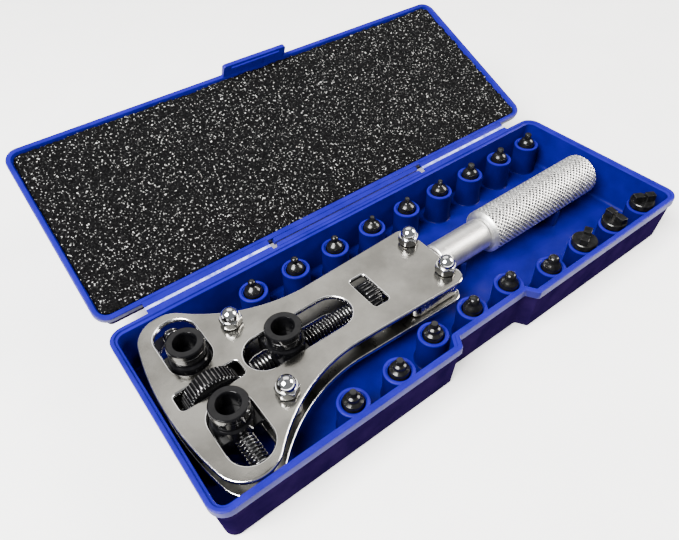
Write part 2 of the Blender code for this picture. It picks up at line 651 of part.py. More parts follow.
def make_chuck(name, location, opener):
    spigot = SPIGOT_DIAMETER / 2
    spigot_bottom = RECESS_FLOOR + GAP
    body = CHUCK_BODY_DIAMETER / 2
    collar = CHUCK_COLLAR_DIAMETER / 2
    collar_bottom = CHUCK_TOP - CHUCK_COLLAR_HEIGHT
    socket = SOCKET_DIAMETER / 2
    socket_floor = spigot_bottom + SPIGOT_FLOOR
    profile = [(0, spigot_bottom), (spigot, spigot_bottom), (spigot, CHUCK_SHOULDER),
               (body, CHUCK_SHOULDER), (body, collar_bottom), (collar, collar_bottom),
               (collar, CHUCK_TOP), (socket, CHUCK_TOP), (socket, socket_floor),
               (0, socket_floor)]
    place(f"{name}_chuck", turned(profile, CHUCK_SIDES), "black_oxide", location=location,
          parent=opener)


# Spare tips: what stands above the shank, as (radius, height above the well's rim)

TIP_HEADS = {
    "ball": ((2.7, 0.3), (2.3, 1.2), (1.3, 2.0), (0.8, 2.6), (1.1, 3.1), (1.1, 3.9), (0.6, 4.4)),
    "pin": ((2.7, 0.3), (2.5, 1.4), (1.4, 2.2), (0.8, 2.5), (0.8, 4.3)),
    "peg": ((2.7, 0.6), (2.0, 1.8), (1.2, 2.1), (1.2, 4.1)),
    "step": ((2.7, 0.9), (1.7, 1.4), (1.7, 2.7), (1.0, 3.0), (1.0, 4.4)),
    "stud": ((2.7, 0.8), (2.1, 1.7), (1.6, 2.2), (1.6, 3.4), (1.2, 4.0)),
    "blade": ((2.7, 0.3), (3.8, 0.5), (3.8, 2.3)),
}
BLADE_THICKNESS = 2.4 * MM
BLADE_LENGTH = 7.0 * MM
BLADE_HEIGHT = 2.2 * MM
BLADE_TURNS = (25, 80, 150)
TIP_ROWS = {"hinge": ("ball", "pin", "peg"), "front": ("step", "stud", "blade")}


def make_tip(name, kind, spot, turn):
    """A spare tip standing in its well, with its shank down."""
    shank = SHANK_DIAMETER / 2
    well_floor = WELL_TOP - WELL_DEPTH
    head = [(radius * MM, WELL_TOP + rise * MM) for radius, rise in TIP_HEADS[kind]]
    top = head[-1][1]
    profile = [(0, well_floor + GAP), (shank, well_floor + GAP)] + head + [(0, top)]
    tip = place(name, turned(profile, TIP_SIDES), "black_oxide", location=(*spot, 0))
    if kind == "blade":
        half_length, half_thickness = BLADE_LENGTH / 2, BLADE_THICKNESS / 2
        edge = boxes([(-half_length, half_length, -half_thickness, half_thickness,
                       top - BLADE_THICKNESS / 4, top + BLADE_HEIGHT)])
        combine(tip, "UNION", helper(name, edge, location=(*spot, 0),
                                     rotation=(0, 0, math.radians(turn))))


def make_tips():
    for row, kinds in TIP_ROWS.items():
        for number in range(TIPS_PER_ROW):
            kind = kinds[number // 3]
            copy = number % 3
            make_tip(f"tip_{kind}_{copy + 1}", kind, tip_place(row, number), BLADE_TURNS[copy])


def clear_scene():
    for existing in list(bpy.data.objects):
        bpy.data.objects.remove(existing, do_unlink=True)


def main():
    clear_scene()
    make_tray()
    make_lid()
    opener = bpy.data.objects.new("opener", None)
    bpy.context.collection.objects.link(opener)
    opener.location = (HEAD_X, 0, AXIS_HEIGHT)
    make_plates(opener)
    make_fasteners(opener)
    make_neck_block(opener)
    make_handle(opener)
    make_screws(opener)
    make_jaw("front_jaw_left", (0, FRONT_JAW_Y, 0), False, opener)
    make_jaw("front_jaw_right", (0, -FRONT_JAW_Y, 0), False, opener)
    make_jaw("rear_jaw", (REAR_JAW_X, 0, 0), True, opener)
    make_tips()


main()
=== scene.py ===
"""Looks for the watch case back opener in its case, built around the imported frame."""

import math

import bmesh
import bpy
import numpy as np
from mathutils import Matrix, Vector
from mathutils.geometry import tessellate_polygon


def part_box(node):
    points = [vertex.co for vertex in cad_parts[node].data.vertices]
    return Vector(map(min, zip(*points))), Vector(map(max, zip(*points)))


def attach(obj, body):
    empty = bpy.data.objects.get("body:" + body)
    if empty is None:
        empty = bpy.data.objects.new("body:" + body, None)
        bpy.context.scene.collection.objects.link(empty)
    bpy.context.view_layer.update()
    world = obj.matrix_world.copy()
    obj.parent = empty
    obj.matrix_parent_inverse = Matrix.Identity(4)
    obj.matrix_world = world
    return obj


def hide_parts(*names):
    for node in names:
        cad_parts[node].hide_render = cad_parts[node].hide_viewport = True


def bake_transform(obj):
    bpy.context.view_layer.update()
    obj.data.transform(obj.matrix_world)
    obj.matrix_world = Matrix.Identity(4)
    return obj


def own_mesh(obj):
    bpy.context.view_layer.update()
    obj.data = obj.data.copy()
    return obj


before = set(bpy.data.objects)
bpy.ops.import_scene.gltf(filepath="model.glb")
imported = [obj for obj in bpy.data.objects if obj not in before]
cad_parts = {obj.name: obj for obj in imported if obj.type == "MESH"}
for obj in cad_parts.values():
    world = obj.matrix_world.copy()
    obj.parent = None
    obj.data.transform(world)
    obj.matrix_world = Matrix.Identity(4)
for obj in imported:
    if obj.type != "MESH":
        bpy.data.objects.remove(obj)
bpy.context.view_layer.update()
MM = 0.001

# Sizes, in millimetres. Places of whole pieces come from the frame further down.
CASE = Vector((168.0, 61.4, 17.0))
LID_DEPTH, WALL, FLOOR = 12.5, 1.6, 1.6
CORNER = 4.5
WEB_REACH, RIM_GAP = 1.7, 0.15
MID_LEDGE = 29  # half the length of the ledge between the two webs
HINGE = Vector((0, CASE.y / 2 + WEB_REACH, CASE.z + RIM_GAP))
LID_SWING = math.radians(155.4)
LATCH_X, NOTCH_FLAT, NOTCH_RAMP, NOTCH_DEPTH = 1.5, 25.6, 2.0, 3.2
PLATE_TOP, PLATE_INNER = 4.4, 3.0
CLEAR = 0.3


# Where things are, from the frame

def middle(node):
    low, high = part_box(node)
    return (low + high) / 2 / MM


AXIS = middle("front_screw")
HEAD_X, AXIS_Z = AXIS.x, AXIS.z


# Mesh building. Points are in millimetres, objects end up in metres at the origin.

def from_faces(name, points, faces, materials, body, smooth=35, picks=None, weighted=True):
    data = bpy.data.meshes.new(name)
    data.from_pydata([(x * MM, y * MM, z * MM) for x, y, z in points], [], faces)
    for one in materials:
        data.materials.append(one)
    if picks is not None:
        data.polygons.foreach_set("material_index", picks)
    mesh = bmesh.new()
    mesh.from_mesh(data)
    bmesh.ops.recalc_face_normals(mesh, faces=mesh.faces)
    mesh.to_mesh(data)
    mesh.free()
    data.shade_smooth()
    data.set_sharp_from_angle(angle=math.radians(smooth))
    piece = bpy.data.objects.new(name, data)
    bpy.context.scene.collection.objects.link(piece)
    if weighted:
        even = piece.modifiers.new("weighted_normal", "WEIGHTED_NORMAL")
        even.keep_sharp = True
    if body:
        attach(piece, body)
    return piece


class Build:
    """Gathers points and faces of several shapes into one piece."""

    def __init__(self):
        self.points, self.faces, self.picks = [], [], []

    def loops(self, rings, pick=0, picks=None):
        """Joins rings of equal size into a closed shape. picks holds one material per step."""
        base = len(self.points)
        size = len(rings[0])
        for ring in rings:
            self.points += [tuple(point) for point in ring]
        for level in range(len(rings) - 1):
            for i in range(size):
                j = (i + 1) % size
                low, high = base + level * size, base + (level + 1) * size
                self.faces.append((low + i, low + j, high + j, high + i))
                self.picks.append(picks[level] if picks else pick)
        for start in (base, base + (len(rings) - 1) * size):
            self.faces.append(tuple(range(start, start + size)))
            self.picks.append(pick)
        return self

    def turned(self, profile, sides, place=None, shape=None, closed=False, pick=0):
        """Spins (radius, height) about Z. shape(angle, radius, height) may change the radius."""
        base = len(self.points)
        rings = []
        for radius, height in profile:
            if radius < 1e-6:
                rings.append([len(self.points)])
                self.points.append((0, 0, height))
                continue
            ring = []
            for i in range(sides):
                angle = math.tau * i / sides
                r = shape(angle, radius, height) if shape else radius
                ring.append(len(self.points))
                self.points.append((r * math.cos(angle), r * math.sin(angle), height))
            rings.append(ring)
        pairs = list(zip(rings, rings[1:]))
        if closed:
            pairs.append((rings[-1], rings[0]))
        for lower, upper in pairs:
            for i in range(sides):
                j = (i + 1) % sides
                if len(lower) == 1 and len(upper) == 1:
                    continue
                if len(lower) == 1:
                    self.faces.append((lower[0], upper[j], upper[i]))
                elif len(upper) == 1:
                    self.faces.append((lower[i], lower[j], upper[0]))
                else:
                    self.faces.append((lower[i], lower[j], upper[j], upper[i]))
                self.picks.append(pick)
        return self.moved(place, base)

    def moved(self, place, base):
        if place is not None:
            if not isinstance(place, Matrix):
                place = Matrix.Translation(place)
            self.points[base:] = [tuple(place @ Vector(p)) for p in self.points[base:]]
        return self

    def block(self, half, radius, place=None, edge=0.25, pick=0, steps=3):
        """A box with rounded corners seen from above and softened top and bottom edges."""
        base = len(self.points)
        hx, hy, hz = half
        rings = []
        for inset, z in ((edge, -hz), (edge * 0.3, -hz + edge * 0.3), (0, -hz + edge),
                         (0, hz - edge), (edge * 0.3, hz - edge * 0.3), (edge, hz)):
            outline = rounded_rectangle(hx - inset, hy - inset, max(radius - inset, 0.05), steps)
            rings.append([(x, y, z) for x, y in outline])
        self.loops(rings, pick=pick)
        return self.moved(place, base)

    def sheet(self, outline, holes, low, high, edge, steps=3, pick=0, edge_pick=1):
        """A plate with holes whose edges are all rounded by edge."""
        loops = [outline] + [list(reversed(hole)) for hole in holes]
        levels = []
        for i in range(steps + 1):
            a = math.pi / 2 * i / steps
            levels.append((edge * (1 - math.sin(a)), low + edge * (1 - math.cos(a))))
        levels += [(inset, high - (z - low)) for inset, z in reversed(levels)]
        starts = []
        for loop in loops:
            base = len(self.points)
            starts.append(base)
            size = len(loop)
            for inset, z in levels:
                self.points += [(x, y, z) for x, y in offset(loop, inset)]
            for level in range(len(levels) - 1):
                for i in range(size):
                    j = (i + 1) % size
                    a, b = base + level * size, base + (level + 1) * size
                    self.faces.append((a + i, a + j, b + j, b + i))
                    self.picks.append(edge_pick)
        for level in (0, len(levels) - 1):
            polygon, index = [], []
            for loop, base in zip(loops, starts):
                size = len(loop)
                ids = range(base + level * size, base + (level + 1) * size)
                polygon.append([Vector(self.points[i]) for i in ids])
                index += list(ids)
            for triangle in tessellate_polygon(polygon):
                self.faces.append(tuple(index[i] for i in triangle))
                self.picks.append(pick)
        return self

    def paint(self, pick, test):
        """Gives each face whose middle passes test(x, y, z) another of the piece's materials."""
        for f, face in enumerate(self.faces):
            corners = [self.points[i] for i in face]
            if test(*(sum(axis) / len(corners) for axis in zip(*corners))):
                self.picks[f] = pick
        return self

    def piece(self, name, materials, body, replaces=(), slot=None, smooth=35, weighted=True):
        if not isinstance(materials, (list, tuple)):
            materials = [materials]
        made = from_faces(name, self.points, self.faces, materials, body, smooth,
                          self.picks, weighted)
        if replaces:
            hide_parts(*replaces)
        return made


def offset(loop, inset):
    """Moves each point of an outline inwards (its left side) along the bisector."""
    if inset == 0:
        return list(loop)
    moved = []
    count = len(loop)
    for i in range(count):
        before, here, after = loop[i - 1], loop[i], loop[(i + 1) % count]
        a = Vector((here[0] - before[0], here[1] - before[1])).normalized()
        b = Vector((after[0] - here[0], after[1] - here[1])).normalized()
        normal = Vector((-(a.y + b.y), a.x + b.x))
        length = normal.length
        if length < 1e-6:
            moved.append(here)
            continue
        normal /= length
        stretch = inset / max(0.5, normal.dot(Vector((-a.y, a.x))))
        moved.append((here[0] + normal.x * stretch, here[1] + normal.y * stretch))
    return moved


def arc(centre, radius, start, end, steps):
    angles = [math.radians(start + (end - start) * i / steps) for i in range(steps + 1)]
    return [(centre[0] + radius * math.cos(a), centre[1] + radius * math.sin(a)) for a in angles]


def rounded_rectangle(half_x, half_y, radius, steps=8, centre=(0, 0)):
    points = []
    for sx, sy, start in ((1, 1, 0), (-1, 1, 90), (-1, -1, 180), (1, -1, 270)):
        spot = (centre[0] + sx * (half_x - radius), centre[1] + sy * (half_y - radius))
        points += arc(spot, radius, start, start + 90, steps)
    return points


def capsule(start, end, width, steps=20):
    r = width / 2
    return arc((end - r, 0), r, -90, 90, steps) + arc((start + r, 0), r, 90, 270, steps)


def circle(centre, diameter, sides):
    return arc(centre, diameter / 2, 0, 360, sides)[:-1]


def round_corners(points, radii, steps):
    """Replaces each corner of a polygon by an arc of its own radius."""
    out = []
    count = len(points)
    for i, radius in enumerate(radii):
        before, here, after = (Vector(points[i - 1]), Vector(points[i]),
                               Vector(points[(i + 1) % count]))
        a, b = (before - here).normalized(), (after - here).normalized()
        half = a.angle(b) / 2
        reach = radius / math.tan(half)
        start, end = here + a * reach, here + b * reach
        centre = here + (a + b).normalized() * (radius / math.sin(half))
        u, v = start - centre, end - centre
        total = math.atan2(u.x * v.y - u.y * v.x, u.dot(v))
        for k in range(steps + 1):
            angle = total * k / steps
            c, s = math.cos(angle), math.sin(angle)
            out.append((centre.x + u.x * c - u.y * s, centre.y + u.x * s + u.y * c))
    return out


def soften(profile, radius=0.15, steps=2):
    """Rounds the inner corners of an open profile."""
    out = [profile[0]]
    for before, here, after in zip(profile, profile[1:], profile[2:]):
        p, q, r = Vector(before), Vector(here), Vector(after)
        reach = min(radius, (p - q).length * 0.45, (r - q).length * 0.45)
        a, b = q + (p - q).normalized() * reach, q + (r - q).normalized() * reach
        for k in range(steps + 1):
            t = k / steps
            s = a * (1 - t) ** 2 + q * 2 * t * (1 - t) + b * t ** 2
            out.append((s.x, s.y))
    out.append(profile[-1])
    return out


def apply_boolean(piece, cutter, operation="DIFFERENCE"):
    change = piece.modifiers.new("cut", "BOOLEAN")
    change.operation, change.solver, change.object = operation, "EXACT", cutter
    for other in list(piece.modifiers):
        if other.type == "WEIGHTED_NORMAL":
            piece.modifiers.remove(other)
    graph = bpy.context.evaluated_depsgraph_get()
    result = bpy.data.meshes.new_from_object(piece.evaluated_get(graph))
    piece.modifiers.remove(change)
    piece.data = result
    result.shade_smooth()
    result.set_sharp_from_angle(angle=math.radians(35))
    bpy.data.objects.remove(cutter)
    even = piece.modifiers.new("weighted_normal", "WEIGHTED_NORMAL")
    even.keep_sharp = True


ALONG_X = Matrix.Rotation(math.pi / 2, 4, "Y")
ALONG_Y = Matrix.Rotation(-math.pi / 2, 4, "X")


def at(x=0.0, y=0.0, z=0.0, turn=None):
    """A place given from the middle of the front screw, in millimetres."""
    move = Matrix.Translation((AXIS.x + x, AXIS.y + y, AXIS.z + z))
    return move @ turn if turn else move


# Materials

def surface(name, colours, rough, metallic=0.0, scale=900, detail=4, stretch=(1, 1, 1),
            bump=0.1, bump_scale=3000, bump_distance=0.00005, stops=(0.35, 0.65),
            rough_scale=500, specular=0.5):
    """A procedural finish: mottled colour, mottled roughness and a fine bump."""
    made = bpy.data.materials.new(name)
    made.use_nodes = True
    nodes, links = made.node_tree.nodes, made.node_tree.links
    shader = nodes["Principled BSDF"]
    shader.inputs["Metallic"].default_value = metallic
    shader.inputs["Specular IOR Level"].default_value = specular
    where = nodes.new("ShaderNodeTexCoord")
    mapping = nodes.new("ShaderNodeMapping")
    mapping.inputs["Scale"].default_value = stretch
    links.new(where.outputs["Object"], mapping.inputs["Vector"])

    def noise(size, depth=detail, roughness=0.55):
        node = nodes.new("ShaderNodeTexNoise")
        node.inputs["Scale"].default_value = size
        node.inputs["Detail"].default_value = depth
        node.inputs["Roughness"].default_value = roughness
        links.new(mapping.outputs["Vector"], node.inputs["Vector"])
        return node.outputs["Fac"]

    ramp = nodes.new("ShaderNodeValToRGB")
    elements = ramp.color_ramp.elements
    for i, colour in enumerate(colours):
        position = stops[0] + (stops[-1] - stops[0]) * i / max(1, len(colours) - 1)
        if len(stops) == len(colours):
            position = stops[i]
        element = elements[i] if i < 2 else elements.new(position)
        element.position, element.color = position, (*colour, 1)
    links.new(noise(scale), ramp.inputs["Fac"])
    links.new(ramp.outputs["Color"], shader.inputs["Base Color"])
    spread = nodes.new("ShaderNodeMapRange")
    spread.inputs["From Min"].default_value, spread.inputs["From Max"].default_value = 0.3, 0.7
    spread.inputs["To Min"].default_value, spread.inputs["To Max"].default_value = rough
    links.new(noise(rough_scale), spread.inputs["Value"])
    links.new(spread.outputs["Result"], shader.inputs["Roughness"])
    relief = nodes.new("ShaderNodeBump")
    relief.inputs["Strength"].default_value = bump
    relief.inputs["Distance"].default_value = bump_distance
    links.new(noise(bump_scale, 3), relief.inputs["Height"])
    links.new(relief.outputs["Normal"], shader.inputs["Normal"])
    return made


# The case is one blue plastic. case_blue_rim is that blue in full light; the inside, outside and well
# colours below are the same blue darkened as painted shade.
PLASTIC = surface("case_blue_rim", ((0.006, 0.0028, 0.145), (0.010, 0.0045, 0.195)), (0.24, 0.36),
                  scale=120, bump=0.22, bump_scale=1800, specular=0.06)
# inside walls, floor and supports: the blue darkened as painted shade
PLASTIC_IN_SHADE = surface("case_blue_inside_painted_shade", ((0.0028, 0.0014, 0.080), (0.005, 0.0024, 0.120)),
                     (0.28, 0.40), scale=90, bump=0.22, bump_scale=1800, specular=0.07)
# outer walls: the blue darkened to near purple-black as painted shade; the higher roughness and stronger
# bump are the real matte outer texture
PLASTIC_OUT_SHADE = surface("case_blue_outside_painted_shade", ((0.0042, 0.0018, 0.018), (0.0085, 0.0036, 0.027)),
                      (0.5, 0.62), scale=160, bump=0.5, bump_scale=2600, specular=0.0)
# tip wells: the blue darkened further as painted shade in the recesses
WELL = surface("case_blue_well_painted_shade", ((0.0014, 0.0007, 0.040), (0.0026, 0.0013, 0.062)),
               (0.28, 0.40), scale=90, bump=0.22, bump_scale=1800, specular=0.04)
# pale blue to near white along the fold crease: a painted highlight
FOLD_HIGHLIGHT = surface("fold_crease_painted_highlight", ((0.10, 0.12, 0.50), (0.40, 0.45, 0.80)), (0.3, 0.45), scale=500,
               bump=0.3, bump_scale=1500)
FOAM = surface("foam_charcoal", ((0.0008, 0.0008, 0.0010), (0.0034, 0.0034, 0.0037),
                                 (0.02, 0.02, 0.02), (0.62, 0.62, 0.61)), (0.8, 0.95),
               scale=1600, detail=3, stops=(0.40, 0.57, 0.635, 0.715), bump=1.0,
               bump_scale=1500, bump_distance=0.0004, rough_scale=900, specular=0.05)
# a darker copy of the plate steel for the bottom plate: painted shade between the plates
PLATE_SHADE = surface("plate_shaded", ((0.08, 0.078, 0.072), (0.15, 0.147, 0.137)), (0.24, 0.36),
                      metallic=1.0, scale=70, detail=8, bump=0.16, bump_scale=1400)
PLATE = surface("plate_satin", ((0.185, 0.179, 0.163), (0.31, 0.301, 0.275)), (0.14, 0.25),
                metallic=1.0, scale=70, detail=8, bump=0.16, bump_scale=1400, rough_scale=260)
# near-white steel for the rounded plate edges: a painted highlight along every edge
EDGE_HIGHLIGHT = surface("plate_edge_painted_highlight", ((0.82, 0.81, 0.79), (0.92, 0.91, 0.89)), (0.10, 0.20),
               metallic=1.0, scale=300, bump=0.08, bump_scale=900)
STEEL = surface("handle_satin", ((0.80, 0.79, 0.77), (0.90, 0.89, 0.87)), (0.34, 0.44),
                metallic=1.0, scale=260, stretch=(6, 1, 1), bump=0.12, bump_scale=1600)
KNURL = surface("knurl_bright", ((0.88, 0.88, 0.87), (0.96, 0.96, 0.95)), (0.34, 0.46),
                metallic=1.0, scale=400, bump=0.1, bump_scale=2500)
# near-black copy of the grip steel for the knurl grooves: painted shade in the grooves
KNURL_GROOVE_SHADE = surface("knurl_groove_painted_shade", ((0.06, 0.06, 0.06), (0.12, 0.12, 0.12)), (0.4, 0.5),
                       metallic=1.0, scale=400, bump=0.1, bump_scale=2500)
CHROME = surface("nut_chrome", ((0.80, 0.80, 0.80), (0.90, 0.90, 0.89)), (0.03, 0.08),
                 metallic=1.0, scale=400, bump=0.03, bump_scale=900)
BLACK = surface("black_oxide", ((0.0015, 0.0015, 0.002), (0.004, 0.004, 0.0045)), (0.09, 0.18),
                metallic=0.0, scale=500, bump=0.02, bump_scale=1500, specular=0.22)
# a lighter grey metal: on the thumbwheels' tooth tops, and as a painted highlight ring on the chucks
RIDGE_GREY_AND_HIGHLIGHT = surface("ridge_grey_and_painted_highlight", ((0.035, 0.035, 0.036), (0.19, 0.19, 0.19)), (0.24, 0.34),
               metallic=0.85, scale=700, bump=0.06, bump_scale=2500)
THREAD = surface("thread_steel", ((0.14, 0.14, 0.142), (0.38, 0.38, 0.38)), (0.16, 0.26),
                 metallic=1.0, scale=900, bump=0.05, bump_scale=2500)
TIP = surface("tip_oxide", ((0.003, 0.003, 0.0035), (0.010, 0.010, 0.010)), (0.14, 0.26),
              metallic=0.3, scale=600, bump=0.05, bump_scale=2500)


# Case

def tray_ring(inset, z):
    hx, hy = CASE.x / 2 - inset, CASE.y / 2 - inset
    slope = math.atan2(NOTCH_DEPTH, NOTCH_RAMP)
    flat = NOTCH_FLAT / 2 + inset * math.tan(slope / 2)
    corners = [(hx, hy), (-hx, hy), (-hx, -hy),
               (LATCH_X - flat - NOTCH_RAMP, -hy), (LATCH_X - flat, -hy + NOTCH_DEPTH),
               (LATCH_X + flat, -hy + NOTCH_DEPTH), (LATCH_X + flat + NOTCH_RAMP, -hy),
               (hx, -hy)]
    wide = max(CORNER - inset, 0.8)
    outer, inner = max(1.1 - inset * 0.6, 0.25), 0.5 + inset * 0.5
    radii = (wide, wide, wide, outer, inner, inner, outer, wide)
    return [(x, y, z) for x, y in round_corners(corners, radii, 7)]


def fillet(inset, z, radius, from_flat, steps=4):
    """(inset, z) pairs round a foot: from the flat underside or floor to the wall."""
    pairs = []
    for i in range(steps + 1):
        a = math.pi / 2 * i / steps
        pairs.append((inset + radius * (1 - math.sin(a)), z + radius * (1 - math.cos(a))))
    return pairs if from_flat else pairs[::-1]


def make_tray():
    top = CASE.z
    outside = fillet(1.55, 0.0, 1.2, True) + [(0.62, 13.6), (0.5, 14.0), (0.1, 14.25)]
    lip = [(0.0, 14.5), (0.0, top - 0.4), (0.12, top - 0.12), (0.4, top)]
    step = [(0.95, top), (1.15, top - 0.12), (1.25, top - 0.6), (1.4, top - 0.7),
            (1.85, top - 0.72), (2.0, top - 0.84), (2.04, top - 1.1)]
    inside = [(2.05, 13.0)] + fillet(2.2, FLOOR, 1.3, False)
    levels = outside + lip + step + inside
    # one material per step between levels: 0 rim (the blue in full light), 1 outside, 2 inside (both the
    # blue darkened as painted shade)
    inner = len(inside) + 1
    picks = ([1] * (len(outside) - 1) + [2] * 2 + [0] * (len(levels) - len(outside) - inner - 2)
             + [2] * inner)
    shell = Build()
    shell.loops([tray_ring(inset, z) for inset, z in levels], picks=picks)
    shell.picks[-1] = 2
    shell.block((MID_LEDGE, 0.8, 1.2), 0.3, Matrix.Translation((0, CASE.y / 2 + 0.75, top - 1.2)),
                edge=0.2)
    rest = Build()
    for low, high in RIBS:
        half = (high - low) / 2
        rest.block(half, 0.5, (low + high) / 2, edge=0.3)
    shell.piece("case_tray", [PLASTIC, PLASTIC_OUT_SHADE, PLASTIC_IN_SHADE], "case", ["case_base"],
                "case_plastic")
    made = rest.piece("tray_supports", PLASTIC_IN_SHADE, "case", slot="case_plastic")
    for x, diameter in ((15.0, 10.0), (58.0, 14.0)):
        cutter = Build().turned([(0, -3), (diameter / 2 + CLEAR, -3), (diameter / 2 + CLEAR, 3),
                                 (0, 3)], 48,
                                Matrix.Translation((x, AXIS.y, AXIS.z)) @ ALONG_X)
        apply_boolean(made, cutter.piece("cradle", PLASTIC, None, weighted=False))


PAD_TOP = AXIS_Z - PLATE_TOP - CLEAR
RIBS = [
    (Vector((13.8, -4.6, 0.8)), Vector((16.2, 4.6, 8.6))),
    (Vector((56.8, -6.0, 0.8)), Vector((59.2, 6.0, 7.6))),
    (Vector((HEAD_X + 44.4, -9.0, 0.8)), Vector((HEAD_X + 46.8, 9.0, PAD_TOP))),
    (Vector((HEAD_X - 10.2, 8.0, 0.8)), Vector((HEAD_X - 7.8, 16.0, PAD_TOP))),
    (Vector((HEAD_X - 10.2, -16.0, 0.8)), Vector((HEAD_X - 7.8, -8.0, PAD_TOP))),
]

TIP_ROWS = {"hinge": ("ball", "pin", "peg"), "front": ("step", "stud", "blade")}
TIPS = [f"tip_{kind}_{n}" for kinds in TIP_ROWS.values() for kind in kinds for n in (1, 2, 3)]
WELL_TOP, WELL_DEPTH = 12.4, 7


def make_wells():
    profile = [(5.1, FLOOR - 0.2), (4.6, FLOOR + 0.15), (4.38, FLOOR + 0.9), (4.3, 6.0),
               (4.3, WELL_TOP - 0.45), (4.2, WELL_TOP - 0.12), (4.0, WELL_TOP),
               (3.6, WELL_TOP), (3.45, WELL_TOP - 0.1), (3.38, WELL_TOP - 0.35),
               (3.1, WELL_TOP - 0.42), (3.0, WELL_TOP - 0.6), (3.0, WELL_TOP - WELL_DEPTH),
               (0, WELL_TOP - WELL_DEPTH)]
    wells = Build()
    for name in TIPS:
        spot = middle(name)
        wells.turned([(0, FLOOR - 0.2)] + profile, 40, (spot.x, spot.y, 0))
    # the well walls and floors keep the darkest blue as painted shade; faces near the top get the rim
    # blue
    wells.paint(1, lambda x, y, z: z > WELL_TOP - 0.5)
    wells.piece("tip_wells", [WELL, PLASTIC], "case", slot="case_plastic")


SWING = Matrix.Translation(HINGE) @ Matrix.Rotation(-LID_SWING, 4, "X")


def lid_ring(inset, z):
    centre = (0, -WEB_REACH - CASE.y / 2)
    outline = rounded_rectangle(CASE.x / 2 - inset, CASE.y / 2 - inset,
                                max(CORNER - inset, 0.8), 8, centre)
    return [(x, y, z) for x, y in outline]


def make_lid():
    rim, roof = RIM_GAP, RIM_GAP + LID_DEPTH
    under = roof - WALL
    outside = [(inset, roof - z) for inset, z in fillet(2.7, 0.0, 1.6, True)]
    lip = [(0.85, rim + 3.0), (0.7, rim + 2.7), (0.08, rim + 2.5), (0.0, rim + 2.25),
           (0.0, rim + 0.4), (0.12, rim + 0.12), (0.4, rim)]
    inside = [(1.2, rim), (1.45, rim + 0.07), (1.6, rim + 0.3), (2.0, rim + 2.0),
              (4.1, under - 1.2), (4.4, under - 0.35), (5.0, under)]
    levels = outside + lip + inside
    # steps marked 1 get the outside blue and steps marked 2 the inside blue, both darker copies as
    # painted shade; the rest the rim blue
    picks = ([1] * (len(outside) + 1) + [0] + [2] * 2
             + [0] * (len(levels) - len(outside) - 5))
    shell = Build()
    shell.loops([lid_ring(inset, z) for inset, z in levels], picks=picks)
    front = -WEB_REACH - CASE.y
    outline = [(12.35, 1.5), (12.35, -4.0), (11.6, -4.6), (-11.6, -4.6), (-12.35, -4.0),
               (-12.35, 1.5)]
    outline = round_corners(outline, (0.3, 0.5, 0.5, 0.5, 0.5, 0.3), 4)
    tab_rings = []
    for inset, y in ((0.25, 0.0), (0.06, 0.08), (0.0, 0.3), (0.0, 1.2), (0.06, 1.42),
                     (0.25, 1.5)):
        ring = offset(outline[::-1], inset)
        tab_rings.append([(LATCH_X + x, front + y, rim + z) for x, z in ring])
    shell.loops(tab_rings)
    catch = Matrix.Translation((LATCH_X, front + 1.6, rim - 3.3))
    shell.block((9.5, 0.45, 0.45), 0.2, catch, edge=0.15)
    shell.block((MID_LEDGE, 0.775, 1.175), 0.3,
                Matrix.Translation((0, -0.925, rim + 1.175)), edge=0.2)
    shell.moved(SWING, 0)
    shell.piece("case_lid_shell", [PLASTIC, PLASTIC_OUT_SHADE, PLASTIC_IN_SHADE], "lid", ["case_lid"], "case_plastic")


def make_folds():
    """The two thin webs, each built bent round its crease between the tray and the open lid."""
    up = Vector((0, math.cos(math.pi - LID_SWING), math.sin(math.pi - LID_SWING)))
    out = Vector((0, up.z, -up.y))
    for name, x0, x1 in (("fold_left", -71.5, -31.0), ("fold_right", 31.0, 71.5)):
        stations = []
        for reach, low, high in ((-2.3, 0.0, 0.62), (-1.75, 0.0, 0.66), (-1.2, 0.0, 0.62),
                                 (-0.75, 0.02, 0.5), (-0.42, 0.1, 0.40), (-0.2, 0.14, 0.36)):
            stations.append(((HINGE.y + reach, HINGE.z - RIM_GAP - low),
                             (HINGE.y + reach, HINGE.z - RIM_GAP - high)))
        crease = ((HINGE.y + 0.05, HINGE.z - 0.22), (HINGE.y + 0.08, HINGE.z - 0.42))
        stations.append(crease)
        for reach, low, high in ((0.2, 0.14, 0.36), (0.42, 0.1, 0.40), (0.75, 0.02, 0.5),
                                 (1.2, 0.0, 0.62), (1.75, 0.0, 0.66), (2.3, 0.0, 0.62)):
            inner = HINGE + up * reach + out * (RIM_GAP + low)
            outer = HINGE + up * reach + out * (RIM_GAP + high)
            stations.append(((inner.y, inner.z), (outer.y, outer.z)))
        section = [s[0] for s in stations] + [s[1] for s in reversed(stations)]
        count = 24
        rings = []
        for i in range(count + 1):
            x = x0 + (x1 - x0) * i / count
            rings.append([(x, y, z) for y, z in section])
        web = Build().loops(rings)
        size = len(section)
        # the faces round the crease get the pale fold colour, a painted highlight; the rest the rim blue
        for f, face in enumerate(web.faces[:count * size]):
            k = f % size
            web.picks[f] = 1 if k in (4, 5, 6, 7) else 0
        piece = web.piece(name, [PLASTIC, FOLD_HIGHLIGHT], None, slot="case_plastic", smooth=60)
        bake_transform(piece)


